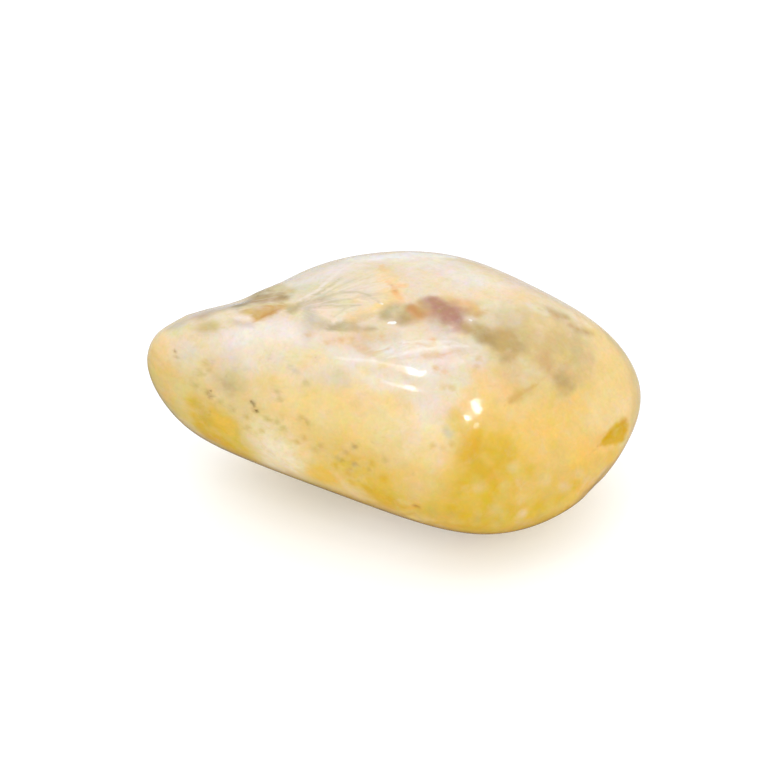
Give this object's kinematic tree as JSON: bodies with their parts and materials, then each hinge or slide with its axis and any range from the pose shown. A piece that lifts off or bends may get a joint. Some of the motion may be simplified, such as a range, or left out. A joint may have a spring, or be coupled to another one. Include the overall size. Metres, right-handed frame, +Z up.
{
  "type": "tumbled stone",
  "caption": "Small teardrop-shaped tumbled quartz pebble, milky to honey yellow and part see-through, worn smooth all over, resting on a small flat spot.",
  "frame": {"origin": "middle of the stone's length and width, on the surface that it lies on", "axes": "+X along the stone from its narrow end to its broad end, +Y towards its back, +Z up"},
  "size_m": [0.029, 0.018, 0.0144],
  "materials": {
    "honey quartz": "polished, milky and part see-through"
  },
  "bodies": {
    "root": {"stone": "honey quartz"}
  },
  "joints": []
}
